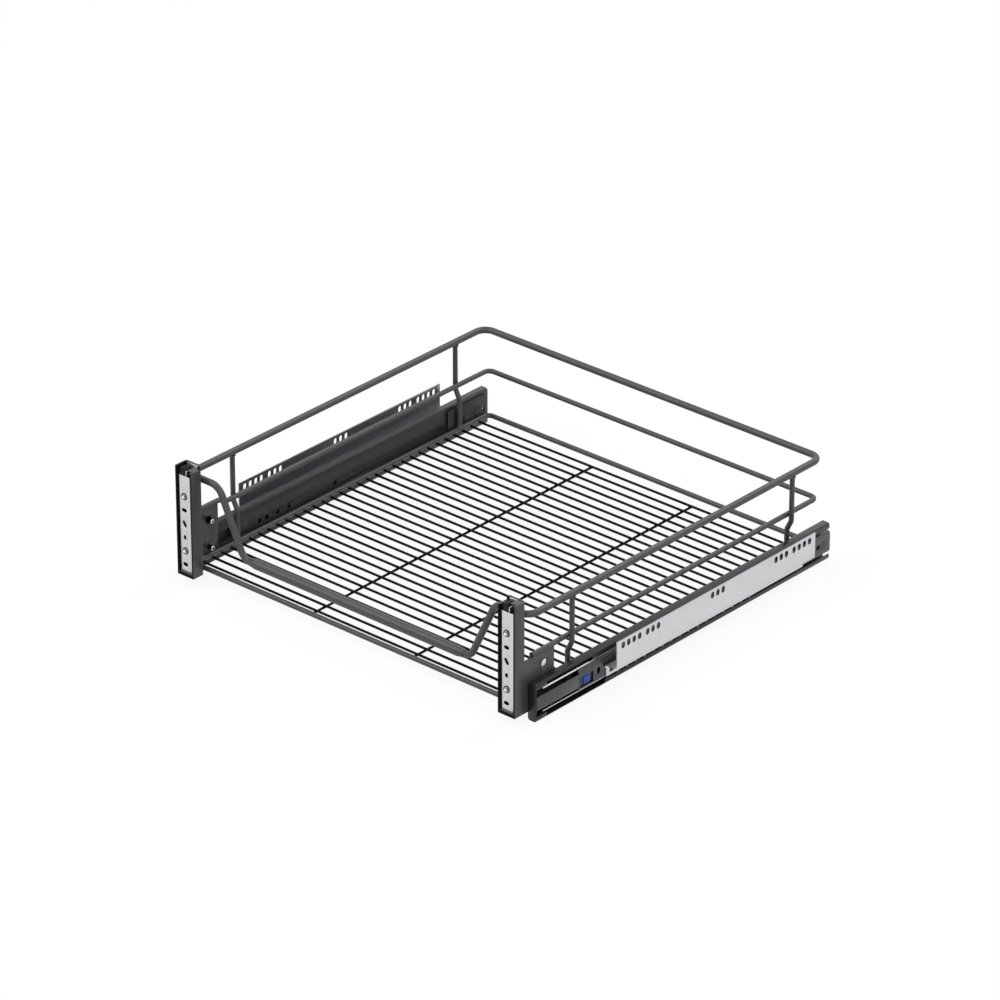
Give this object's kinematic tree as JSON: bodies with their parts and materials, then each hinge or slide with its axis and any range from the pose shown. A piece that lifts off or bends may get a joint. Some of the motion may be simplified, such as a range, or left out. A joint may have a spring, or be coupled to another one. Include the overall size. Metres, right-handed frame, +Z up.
{
  "type": "pull-out wire drawer",
  "caption": "Wire basket drawer for a fitted kitchen unit, on full-extension ball slides with slotted wall strips and front uprights for a door front.",
  "frame": {"origin": "middle of the drawer's width and depth, level with the lowest edge of its slides", "axes": "+X to the right across the cabinet, +Y from the front to the back, +Z up"},
  "size_m": [0.564, 0.5214, 0.1452],
  "materials": {
    "anthracite_coat": "anthracite powder coat, satin",
    "dark_slide_steel": "dark grey electro-coated rolled steel, satin",
    "zinc_plate": "bright zinc-plated steel sheet",
    "bright_nickel": "bright nickel-plated steel",
    "black_plastic": "moulded black plastic, fine grain",
    "blue_plastic": "moulded blue plastic, smooth"
  },
  "bodies": {
    "cabinet_side": {"slide_cabinet_left": "dark_slide_steel", "slide_cabinet_right": "dark_slide_steel", "mounting_strip_left": "zinc_plate", "mounting_strip_right": "zinc_plate", "strip_rivets_left": "bright_nickel", "strip_rivets_right": "bright_nickel", "lever_pin_left": "dark_slide_steel", "lever_pin_right": "dark_slide_steel"},
    "basket": {"top_rail": "anthracite_coat", "front_tube": "anthracite_coat", "mid_rail": "anthracite_coat", "post_front_left": "anthracite_coat", "post_front_right": "anthracite_coat", "post_rear_left": "anthracite_coat", "post_rear_right": "anthracite_coat", "floor_ring": "anthracite_coat", "floor_wires": "anthracite_coat", "support_wire_left": "anthracite_coat", "support_wire_right": "anthracite_coat", "upright_left": "anthracite_coat", "upright_right": "anthracite_coat", "front_plate_left": "zinc_plate", "front_plate_right": "zinc_plate", "front_inserts_left": "bright_nickel", "front_inserts_right": "bright_nickel", "adjuster_bracket_left": "zinc_plate", "adjuster_bracket_right": "zinc_plate", "adjuster_block_left": "black_plastic", "adjuster_block_right": "black_plastic", "rear_bracket_left": "anthracite_coat", "rear_bracket_right": "anthracite_coat", "slide_channel_left": "dark_slide_steel", "slide_channel_right": "dark_slide_steel", "wing_studs_left": "bright_nickel", "wing_studs_right": "bright_nickel", "channel_rivets_left": "anthracite_coat", "channel_rivets_right": "anthracite_coat"},
    "middle_left": {"slide_middle_left": "dark_slide_steel"},
    "inner_balls_left": {"inner_cage_left": "bright_nickel", "inner_balls_left": "bright_nickel"},
    "outer_balls_left": {"outer_cage_left": "dark_slide_steel", "outer_balls_left": "bright_nickel"},
    "lever_left": {"release_lever_left": "blue_plastic"},
    "middle_right": {"slide_middle_right": "dark_slide_steel"},
    "inner_balls_right": {"inner_cage_right": "bright_nickel", "inner_balls_right": "bright_nickel"},
    "outer_balls_right": {"outer_cage_right": "dark_slide_steel", "outer_balls_right": "bright_nickel"},
    "lever_right": {"release_lever_right": "blue_plastic"}
  },
  "joints": [
    {"name": "basket_slide", "type": "slide", "parent": "cabinet_side", "child": "basket", "axis": [0, -1, 0], "range_m": [0, 0.5]},
    {"name": "middle_left_slide", "type": "slide", "parent": "cabinet_side", "child": "middle_left", "axis": [0, -1, 0], "range_m": [0, 0.25]},
    {"name": "inner_balls_left_slide", "type": "slide", "parent": "cabinet_side", "child": "inner_balls_left", "axis": [0, -1, 0], "range_m": [0, 0.125]},
    {"name": "outer_balls_left_slide", "type": "slide", "parent": "cabinet_side", "child": "outer_balls_left", "axis": [0, -1, 0], "range_m": [0, 0.375]},
    {"name": "lever_left_tilt", "type": "hinge", "parent": "cabinet_side", "child": "lever_left", "pos_m": [-0.2612, -0.14375, 0.02], "axis": [1, 0, 0], "range_deg": [-5, 0], "stiffness_Nm_per_rad": 0.05},
    {"name": "middle_right_slide", "type": "slide", "parent": "cabinet_side", "child": "middle_right", "axis": [0, -1, 0], "range_m": [0, 0.25]},
    {"name": "inner_balls_right_slide", "type": "slide", "parent": "cabinet_side", "child": "inner_balls_right", "axis": [0, -1, 0], "range_m": [0, 0.125]},
    {"name": "outer_balls_right_slide", "type": "slide", "parent": "cabinet_side", "child": "outer_balls_right", "axis": [0, -1, 0], "range_m": [0, 0.375]},
    {"name": "lever_right_tilt", "type": "hinge", "parent": "cabinet_side", "child": "lever_right", "pos_m": [0.2612, -0.14375, 0.02], "axis": [1, 0, 0], "range_deg": [0, 5], "stiffness_Nm_per_rad": 0.05}
  ],
  "couplings": [
    {"joint": "middle_left_slide", "follows": "basket_slide", "ratio": 0.5},
    {"joint": "inner_balls_left_slide", "follows": "basket_slide", "ratio": 0.25},
    {"joint": "outer_balls_left_slide", "follows": "basket_slide", "ratio": 0.75},
    {"joint": "middle_right_slide", "follows": "basket_slide", "ratio": 0.5},
    {"joint": "inner_balls_right_slide", "follows": "basket_slide", "ratio": 0.25},
    {"joint": "outer_balls_right_slide", "follows": "basket_slide", "ratio": 0.75}
  ]
}
